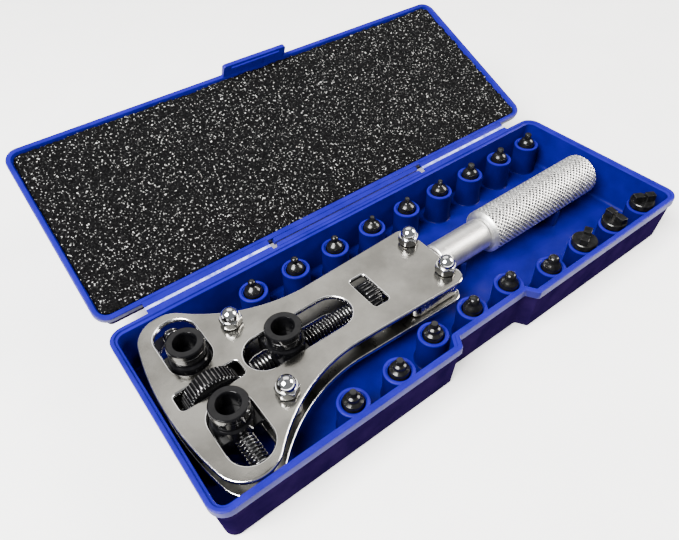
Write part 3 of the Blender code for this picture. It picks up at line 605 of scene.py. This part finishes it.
def make_foam():
    """A slab of open foam with a pitted face, seated in the lid."""
    rim, under = RIM_GAP, RIM_GAP + LID_DEPTH - WALL
    inset_front, inset_back = 1.95, 4.95
    face_z, back_z = rim + 0.55, under - 0.15
    columns, rows = 336, 118
    rng = np.random.default_rng(7)
    hx, hy = CASE.x / 2 - inset_front, CASE.y / 2 - inset_front
    radius = CORNER - inset_front
    u, v = np.meshgrid(np.linspace(-1, 1, columns), np.linspace(-1, 1, rows), indexing="ij")
    x, y = u * hx, v * hy
    # pull the grid's corners in to the slab's rounded corners
    cx, cy = np.clip(np.abs(x) - (hx - radius), 0, None), np.clip(np.abs(y) - (hy - radius), 0, None)
    reach = np.maximum(cx, cy)
    length = np.hypot(cx, cy)
    scale = np.where(length > 1e-9, reach / np.maximum(length, 1e-9), 1)
    x = np.sign(x) * (np.abs(x) - cx + cx * scale)
    y = np.sign(y) * (np.abs(y) - cy + cy * scale)

    def smooth(field, times):
        for _ in range(times):
            padded = np.pad(field, 1, mode="edge")
            field = (padded[1:-1, 1:-1] * 2 + padded[:-2, 1:-1] + padded[2:, 1:-1]
                     + padded[1:-1, :-2] + padded[1:-1, 2:]) / 6
        return field

    fine = smooth(rng.standard_normal((columns, rows)), 1)
    broad = smooth(rng.standard_normal((columns, rows)), 60)
    pits = smooth((rng.random((columns, rows)) < 0.05).astype(float), 1)
    height = 0.16 * fine / fine.std() + 0.12 * broad / broad.std() - 0.5 * pits / pits.max()
    droop = np.exp(-np.minimum((1 - np.abs(u)) * hx, (1 - np.abs(v)) * hy) / 0.8)
    z = face_z - np.clip(height, -0.6, 0.45) + 0.5 * droop
    centre_y = -WEB_REACH - CASE.y / 2
    points = [(float(a), float(b) + centre_y, float(c))
              for a, b, c in zip(x.ravel(), y.ravel(), z.ravel())]
    faces = []
    for i in range(columns - 1):
        for j in range(rows - 1):
            k = i * rows + j
            faces.append((k, k + 1, k + rows + 1, k + rows))
    border = ([i * rows for i in range(columns)]
              + [(columns - 1) * rows + j for j in range(1, rows)]
              + [i * rows + rows - 1 for i in range(columns - 2, -1, -1)]
              + [j for j in range(rows - 2, 0, -1)])
    slab = Build()
    slab.points, slab.faces = points, faces
    slab.picks = [0] * len(faces)
    shrink_x = (CASE.x / 2 - inset_back) / hx
    shrink_y = (CASE.y / 2 - inset_back) / hy
    ring = border
    for share in (0.15, 0.5, 1.0):
        depth = face_z + 0.5 + (back_z - face_z - 0.5) * share
        base = len(slab.points)
        for k in border:
            px, py, _ = points[k]
            slab.points.append((px * (1 + (shrink_x - 1) * share),
                                centre_y + (py - centre_y) * (1 + (shrink_y - 1) * share), depth))
        new = list(range(base, base + len(border)))
        for a in range(len(border)):
            b = (a + 1) % len(border)
            slab.faces.append((ring[a], ring[b], new[b], new[a]))
            slab.picks.append(0)
        ring = new
    slab.faces.append(tuple(ring))
    slab.picks.append(0)
    slab.moved(SWING, 0)
    foam = slab.piece("lid_foam_pad", FOAM, "lid", ["lid_foam"], "foam", smooth=80, weighted=False)
    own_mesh(foam)


# Opener

def head_outline():
    front, bulge, corner, half_width = 12.2, 2.4, 8.5, 28.3
    cx, cy = -front + bulge + corner, half_width - corner
    between = (cy ** 2 + bulge ** 2) / (2 * bulge)
    big = between + corner
    lean = math.degrees(math.asin(cy / between))
    points = arc((-front + big, 0), big, 180, 180 - lean, 14)
    bend = arc((cx, cy), corner, 180 - lean, 45, 28)
    leave = bend[-1]
    flare, neck, rear, rear_width, rear_corner = 44.0, 12.5, 74.8, 13.8, 3.5
    run = flare * math.sin(math.pi / 4)
    drop = flare * (1 - math.cos(math.pi / 4))
    start = leave[0] + (leave[1] - neck - drop)
    curve = arc((start + run, neck + flare), flare, 225, 270, 24)
    end = arc((rear - rear_corner, rear_width - rear_corner), rear_corner, 90, 0, 10)
    upper = points + bend[1:] + curve + end
    outline = upper + [(x, -y) for x, y in reversed(upper[1:])]
    return [(HEAD_X + x, y) for x, y in reversed(outline)]


BOLTS = {"front_left": (13.9, 13.6), "front_right": (13.9, -13.6),
         "rear_left": (71.6, 7.9), "rear_right": (71.6, -7.9)}
BOLT_RADIUS, HOLE_RADIUS, BOLT_HEAD_RADIUS = 1.35, 1.65, 2.7
NUT_FLAT, NUT_HEX, NUT_HEIGHT, NUT_DOME, IN_NUT = 2.75, 2.4, 5.2, 2.5, 2.8
POST_RADIUS = 3.0
SLOT_WIDTH, WHEEL_WINDOW = 11.4, 8.82
SCREW_RADIUS, SCREW_ROOT = 2.5, 2.32


def plate_holes():
    across = capsule(5.0, 25.0, SLOT_WIDTH)
    holes = [[(y, x) for x, y in across][::-1], [(y, -x) for x, y in across]]
    holes.append(capsule(10.4, 42.6, SLOT_WIDTH))
    holes.append(rounded_rectangle(WHEEL_WINDOW, 2.7, 1.2, 8))
    holes.append(rounded_rectangle(2.5, 6.0, 1.0, 8, (50.0, 0)))
    holes += [circle(spot, 2 * HOLE_RADIUS, 28) for spot in BOLTS.values()]
    return [[(HEAD_X + x, y) for x, y in hole] for hole in holes]


def make_plates():
    for name, low, high in (("top_plate", PLATE_INNER, PLATE_TOP),
                            ("bottom_plate", -PLATE_TOP, -PLATE_INNER)):
        # every rounded edge of the plates takes the near-white edge steel, a painted highlight
        sheet = Build().sheet(head_outline(), plate_holes(), AXIS_Z + low, AXIS_Z + high, 0.42)
        # the bottom plate gets the darker copy of the plate steel as painted shade
        face = PLATE if name == "top_plate" else PLATE_SHADE
        sheet.piece(f"{name}_shown", [face, EDGE_HIGHLIGHT], "opener", [name], "plate_steel", smooth=50)


def make_fasteners():
    seat = PLATE_TOP + CLEAR
    under = -PLATE_TOP - CLEAR
    corner = NUT_FLAT / math.cos(math.pi / 6)

    def hexagonal(angle, radius, height):
        """Six flats up to the nut's shoulder, with its corners chamfered above and below."""
        if height > seat + NUT_HEX + 0.02 or radius < NUT_FLAT - 0.3:
            return radius
        share = ((angle + math.pi / 6) % (math.pi / 3)) - math.pi / 6
        edge = min(height - seat, seat + NUT_HEX - height)
        return min(NUT_FLAT / math.cos(share), corner - max(0.0, 0.5 - edge) * 0.9)

    dome_base = seat + NUT_HEIGHT - NUT_DOME
    profile = [(0, PLATE_TOP + IN_NUT + CLEAR), (HOLE_RADIUS, PLATE_TOP + IN_NUT + CLEAR)]
    profile += [(HOLE_RADIUS, seat), (2.6, seat), (NUT_FLAT, seat + 0.12), (NUT_FLAT, seat + 0.3),
                (NUT_FLAT, seat + 0.5), (NUT_FLAT, seat + 1.9), (NUT_FLAT, seat + 2.1),
                (NUT_FLAT, seat + 2.28), (2.6, seat + NUT_HEX),
                (2.3, seat + 2.43), (2.2, seat + 2.52), (2.36, seat + 2.64)]
    profile += [(NUT_DOME * math.cos(a), dome_base + NUT_DOME * math.sin(a))
                for a in (math.radians(9 * i) for i in range(10))]
    profile += [(0, seat + NUT_HEIGHT)]
    head = [(0, under - 1.55), (1.6, under - 1.7), (2.3, under - 1.5), (BOLT_HEAD_RADIUS, under - 0.9),
            (BOLT_HEAD_RADIUS, under), (BOLT_RADIUS, under), (BOLT_RADIUS, PLATE_TOP + IN_NUT),
            (0, PLATE_TOP + IN_NUT)]
    post = [(HOLE_RADIUS, -2.7), (POST_RADIUS - 0.15, -2.7), (POST_RADIUS, -2.5),
            (POST_RADIUS, 2.5), (POST_RADIUS - 0.15, 2.7), (HOLE_RADIUS, 2.7)]
    for spot, (x, y) in BOLTS.items():
        nut = Build().turned(profile, 72, at(x, y), hexagonal)
        nut.piece(f"nut_{spot}", CHROME, "opener", [f"acorn_nut_{spot}"], "nut_chrome", smooth=32)
        bolt = Build().turned(soften(head, 0.2), 40, at(x, y))
        made = bolt.piece(f"bolt_{spot}_shown", CHROME, "opener", [f"bolt_{spot}"], "nut_chrome")
        driver = Build().block((3.2, 0.35, 0.5), 0.05, at(x, y, under - 1.75), edge=0.02)
        apply_boolean(made, driver.piece("driver_slot", CHROME, None, weighted=False))
        if spot.startswith("front"):
            Build().turned(post, 48, at(x, y), closed=True).piece(
                f"post_{spot}", STEEL, "opener", [f"spacer_post_{spot}"], "plate_steel")


def make_neck_block():
    outline = rounded_rectangle(8.75, 12.0, 2.5, 8, (HEAD_X + 65.75, 0))
    holes = [circle((HEAD_X + x, y), 2 * HOLE_RADIUS, 28)
             for spot, (x, y) in BOLTS.items() if "rear" in spot]
    block = Build().sheet(outline, holes, AXIS_Z - 2.7, AXIS_Z + 2.7, 0.3)
    # the block's rounded edges also take the painted highlight edge steel
    made = block.piece("neck_block_shown", [PLATE, EDGE_HIGHLIGHT], "opener", ["neck_block"], "plate_steel")
    for x, diameter, length in ((57.0, 3.6, 3.6), (74.5, 4.4, 10.3)):
        cutter = Build().turned([(0, -length), (diameter / 2, -length), (diameter / 2, length),
                                 (0, length)], 32, at(x, 0, 0, ALONG_X))
        apply_boolean(made, cutter.piece("neck_bore", STEEL, None, weighted=False))


def make_handle():
    stem = [(0, 64.5), (1.9, 64.5), (1.9, 75.1), (4.6, 75.1), (5.0, 75.5), (5.0, 94.4),
            (4.7, 94.8), (3.0, 94.8), (3.0, 115.1), (0, 115.1)]
    Build().turned(soften(stem, 0.12), 64, at(0, 0, 0, ALONG_X)).piece(
        "stem_shown", STEEL, "opener", ["handle_stem"], "handle_steel")
    start, end, radius = 95.1, 144.6, 7.0
    around, pitch, depth = 28, 1.55, 0.5
    low, high = start + 1.0, end - 1.0

    def knurl(angle, r, height):
        if r < 6.5 or not low <= height <= high:
            return r
        fade = min(1.0, (height - low) / 0.25, (high - height) / 0.25)
        u, v = angle / math.tau * around, height / pitch

        def saw(t):
            return abs((t % 1.0) - 0.5) * 2
        pit = min(saw(u + v), saw(u - v))
        return radius - depth * fade * max(0.0, pit - 0.18) / 0.82

    rings = 232
    outer = [(5.9, start), (6.05, start + 0.05), (6.8, start + 0.8), (6.95, start + 0.95)]
    outer += [(radius, low + (high - low) * i / rings) for i in range(rings + 1)]
    outer += [(6.95, end - 0.95), (6.8, end - 0.8), (6.05, end - 0.05), (5.9, end), (0, end)]
    inner = [(0, 115.4), (3.3, 115.4), (3.3, start)]
    grip = Build().turned(inner + outer, around * 8, at(0, 0, 0, ALONG_X), knurl)
    # faces below the knurl crests get the near-black groove steel as painted shade; the crests keep the
    # bright knurl steel
    grip.paint(1, lambda x, y, z: math.hypot(y - AXIS.y, z - AXIS_Z) < radius - 0.13
               and low < x - AXIS.x < high)
    grip.piece("grip_shown", [KNURL, KNURL_GROOVE_SHADE], "opener", ["handle_grip"], "handle_steel", smooth=50,
               weighted=False)


def thread_shape(hand, low, high, pitch=1.0, depth=0.42):
    def shape(angle, radius, height):
        if radius < 2.4 or not low <= height <= high:
            return radius
        fade = min(1.0, (height - low) / 0.6, (high - height) / 0.6)
        phase = (height / pitch - hand * angle / math.tau) % 1.0
        wave = abs(phase - 0.5) * 2
        crest = min(1.0, max(0.0, (wave - 0.15) / 0.7))
        return radius - depth * fade * (1 - crest)
    return shape


def make_screws():
    def bar(low, high, ends):
        count = int((high - low) / 0.125)
        return (ends[0] + [(SCREW_RADIUS, low + (high - low) * i / count) for i in range(count + 1)]
                + ends[1])

    left = bar(2.6, 24.0, ([(0, 2.6)], [(2.3, 24.2), (0, 24.2)]))
    right = bar(-24.0, -2.6, ([(0, -24.2), (2.3, -24.2)], [(0, -2.6)]))
    screw = Build()
    screw.turned(left, 24, at(0, 0, 0, ALONG_Y), thread_shape(1, 3.0, 24.0))
    screw.turned(right, 24, at(0, 0, 0, ALONG_Y), thread_shape(-1, -24.0, -3.0))
    screw.turned([(0, -2.6), (2.5, -2.6), (2.5, 2.6), (0, 2.6)], 24, at(0, 0, 0, ALONG_Y))
    screw.paint(1, lambda x, y, z: math.hypot(x - AXIS.x, z - AXIS_Z) < SCREW_ROOT)
    screw.piece("front_screw_shown", [THREAD, BLACK], "front_screw", ["front_screw"], "black_oxide",
                weighted=False)
    rear = bar(11.2, 45.5, ([(0, 11.0), (2.3, 11.0)], [(2.5, 56.7), (1.5, 56.7), (1.5, 60.3),
                                                       (0, 60.3)]))
    rear_screw = Build().turned(rear, 24, at(0, 0, 0, ALONG_X), thread_shape(1, 11.2, 45.5))
    rear_screw.paint(1, lambda x, y, z: math.hypot(y - AXIS.y, z - AXIS_Z) < SCREW_ROOT)
    rear_screw.piece("rear_screw_shown", [THREAD, BLACK], "rear_screw", ["rear_screw"], "black_oxide",
                     weighted=False)


def make_wheels():
    for name, radius, half, teeth, place, body in (
            ("front_thumbwheel", 7.6, 2.3, 46, at(0, 0, 0, ALONG_Y), "front_screw"),
            ("rear_thumbwheel", 5.3, 2.1, 26, at(50.0, 0, 0, ALONG_X), "rear_screw")):
        def shape(angle, r, height, radius=radius, teeth=teeth, half=half):
            if r < radius - 0.9:
                return r
            wave = abs(((angle / math.tau * teeth) % 1.0) - 0.5) * 2
            groove = min(1.0, max(0.0, (0.75 - wave) / 0.3))
            return r - 0.48 * groove * min(1.0, (half - abs(height)) / 0.35 + 0.35)

        profile = [(2.8, -half), (radius - 1.0, -half), (radius - 0.5, -half),
                   (radius - 0.1, -half + 0.35), (radius, -half + 0.6), (radius, half - 0.6),
                   (radius - 0.1, half - 0.35), (radius - 0.5, half), (radius - 1.0, half),
                   (2.8, half)]
        wheel = Build().turned(profile, teeth * 8, place, shape, closed=True)
        crosswise = 0 if body == "front_screw" else 1
        # the tooth tops keep the lighter grey; grooves and sides are black
        wheel.paint(1, lambda *spot, radius=radius, crosswise=crosswise: math.hypot(
            spot[crosswise] - AXIS[crosswise], spot[2] - AXIS_Z) < radius - 0.14)
        wheel.piece(f"{name}_shown", [RIDGE_GREY_AND_HIGHLIGHT, BLACK], body, [name], "black_oxide", smooth=40)


def make_jaws():
    slider_top, recess = PLATE_TOP + 1.0, 3.4
    for name, along_x in (("front_jaw_left", False), ("front_jaw_right", False),
                          ("rear_jaw", True)):
        spot = middle(f"{name}_chuck")
        x, y = spot.x - AXIS.x, spot.y - AXIS.y
        barrel = [(0, -PLATE_TOP), (5.0, -PLATE_TOP), (5.3, -PLATE_TOP + 0.3),
                  (5.3, slider_top - 0.35), (5.0, slider_top), (4.5, slider_top),
                  (4.4, slider_top - 0.1), (4.4, recess), (0, recess)]
        slider = Build().turned(barrel, 56, at(x, y)).piece(
            f"{name}_slider_shown", BLACK, name, [f"{name}_slider"], "black_oxide")
        half = (4.5, 7.5, 2.7) if along_x else (7.5, 4.5, 2.7)
        ears = Build().block(half, 0.6, at(x, y), edge=0.3)
        apply_boolean(slider, ears.piece("ears", BLACK, None, weighted=False), "UNION")
        dish = Build().turned([(0, recess), (4.4, recess), (4.4, slider_top + 1),
                               (0, slider_top + 1)], 56, at(x, y))
        apply_boolean(slider, dish.piece("dish", BLACK, None, weighted=False))
        turn = ALONG_X if along_x else ALONG_Y
        hole = Build().turned([(0, -9), (2.8, -9), (2.8, 9), (0, 9)], 40, at(x, y, 0, turn))
        apply_boolean(slider, hole.piece("bore", BLACK, None, weighted=False))

        shoulder, top = slider_top + CLEAR, PLATE_TOP + 5.6
        profile = [(0, 3.7), (3.8, 3.7), (4.1, 4.0), (4.1, shoulder), (4.55, shoulder),
                   (4.65, shoulder + 0.12), (4.65, top - 2.15), (4.5, top - 2.0),
                   (4.5, top - 1.86), (4.75, top - 1.8), (4.9, top - 1.65), (4.9, top - 0.35),
                   (4.72, top - 0.08), (4.5, top), (3.25, top), (3.05, top - 0.1),
                   (2.9, top - 0.4), (2.85, top - 1.0), (2.85, 4.75), (2.75, 4.6), (0, 4.6)]
        chuck = Build().turned(profile, 64, at(x, y))
        # a thin ring in the groove under the collar gets the lighter grey: a painted highlight line
        chuck.paint(1, lambda px, py, pz, low=AXIS_Z + top - 2.1, cx=spot.x, cy=spot.y:
                    low < pz < low + 0.27 and math.hypot(px - cx, py - cy) > 4.3)
        chuck.piece(
            f"{name}_chuck_shown", [BLACK, RIDGE_GREY_AND_HIGHLIGHT], name, [f"{name}_chuck"], "black_oxide", smooth=28)


# Spare tips

HEADS = {
    "ball": ((2.7, 0.25), (2.66, 0.6), (2.45, 1.05), (2.05, 1.5), (1.55, 1.9), (1.05, 2.2),
             (0.82, 2.45), (0.8, 2.65), (0.98, 2.9), (1.15, 3.2), (1.18, 3.55), (1.05, 3.95),
             (0.75, 4.25), (0.4, 4.38)),
    "pin": ((2.7, 0.3), (2.68, 1.0), (2.5, 1.35), (1.9, 1.85), (1.3, 2.2), (0.9, 2.4),
            (0.8, 2.6), (0.8, 4.05), (0.65, 4.25), (0.4, 4.3)),
    "peg": ((2.7, 0.5), (2.6, 0.9), (2.1, 1.65), (1.5, 2.0), (1.25, 2.15), (1.2, 2.4),
            (1.2, 3.85), (1.05, 4.05), (0.6, 4.1)),
    "step": ((2.7, 0.75), (2.55, 0.95), (1.8, 1.3), (1.7, 1.5), (1.7, 2.6), (1.55, 2.75),
             (1.1, 2.9), (1.0, 3.05), (1.0, 4.2), (0.85, 4.38), (0.5, 4.4)),
    "stud": ((2.7, 0.65), (2.55, 0.95), (2.1, 1.6), (1.7, 2.05), (1.6, 2.3), (1.6, 3.25),
             (1.45, 3.5), (1.2, 3.85), (0.9, 4.0)),
    "blade": ((2.7, 0.3), (3.6, 0.35), (3.8, 0.55), (3.8, 2.1), (3.6, 2.3)),
}
TURNS = (25, 80, 150)


def make_tips():
    for kind, head in HEADS.items():
        for number in (1, 2, 3):
            name = f"tip_{kind}_{number}"
            spot = middle(name)
            floor = WELL_TOP - WELL_DEPTH + CLEAR
            top = WELL_TOP + head[-1][1]
            profile = [(0, floor), (2.45, floor), (2.7, floor + 0.25)]
            profile += [(r, WELL_TOP + z) for r, z in head] + [(0, top)]
            tip = Build().turned(profile, 40, (spot.x, spot.y, 0))
            if kind == "blade":
                turn = math.radians(TURNS[number - 1])
                for side in (-1, 1):
                    place = (Matrix.Translation((spot.x, spot.y, top + 0.8))
                             @ Matrix.Rotation(turn, 4, "Z")
                             @ Matrix.Translation((side * 2.0, 0, 0)))
                    tip.block((1.5, 1.2, 1.4), 0.3, place, edge=0.2)
            tip.piece(f"{name}_shown", TIP, name, [name], "black_oxide", smooth=40)


# Stage

def make_stage():
    paper = surface("paper", ((0.90, 0.90, 0.895), (0.93, 0.93, 0.925)), (0.6, 0.8), scale=40,
                    bump=0.05, bump_scale=900)
    glow = paper.node_tree.nodes["Principled BSDF"]
    glow.inputs["Emission Color"].default_value = (1, 1, 1, 1)
    glow.inputs["Emission Strength"].default_value = 0.6
    data = bpy.data.meshes.new("floor")
    size = 1.6
    data.from_pydata([(-size, -size, 0), (size, -size, 0), (size, size, 0), (-size, size, 0)],
                     [], [(0, 1, 2, 3)])
    data.materials.append(paper)
    floor = bpy.data.objects.new("floor", data)
    bpy.context.scene.collection.objects.link(floor)

    world = bpy.data.worlds.new("studio")
    bpy.context.scene.world = world
    world.use_nodes = True
    background = world.node_tree.nodes["Background"]
    background.inputs["Color"].default_value = (0.95, 0.97, 1.0, 1)
    background.inputs["Strength"].default_value = 0.24

    def lamp(name, place, target, size, power, colour=(1, 1, 1), size_y=None):
        light = bpy.data.lights.new(name, "AREA")
        light.energy, light.color = power, colour
        light.size = size
        if size_y:
            light.shape, light.size_y = "RECTANGLE", size_y
        holder = bpy.data.objects.new(name, light)
        holder.location = place
        holder.rotation_euler = (Vector(target) - Vector(place)).to_track_quat("-Z", "Y").to_euler()
        bpy.context.scene.collection.objects.link(holder)

    lamp("key", (-0.62, -0.05, 0.80), (0, 0.02, 0), 0.60, 52.0, (1.0, 0.99, 0.97))
    lamp("panel", (0.35, 0.60, 0.90), (0, 0, 0), 0.95, 4.0, (1.0, 0.98, 0.95), 0.7)
    lamp("side", (0.75, -0.30, 0.48), (0, 0, 0), 0.45, 15.0, (1.0, 0.95, 0.89))


def make_camera():
    data = bpy.data.cameras.new("camera")
    data.lens, data.sensor_width, data.sensor_fit = 30.95, 36.0, "HORIZONTAL"
    data.clip_start, data.clip_end = 0.01, 10
    camera = bpy.data.objects.new("camera", data)
    right = Vector((0.7983, -0.6012, -0.0375)).normalized()
    up = Vector((0.4484, 0.5515, 0.7034))
    back = right.cross(up).normalized()
    up = back.cross(right)
    turn = Matrix((right, up, back)).transposed().to_4x4()
    camera.matrix_world = Matrix.Translation((-0.0885, -0.0861, 0.1360)) @ turn
    bpy.context.scene.collection.objects.link(camera)
    bpy.context.scene.camera = camera


make_tray()
make_wells()
make_lid()
make_folds()
make_foam()
make_plates()
make_fasteners()
make_neck_block()
make_handle()
make_screws()
make_wheels()
make_jaws()
make_tips()
make_stage()
make_camera()
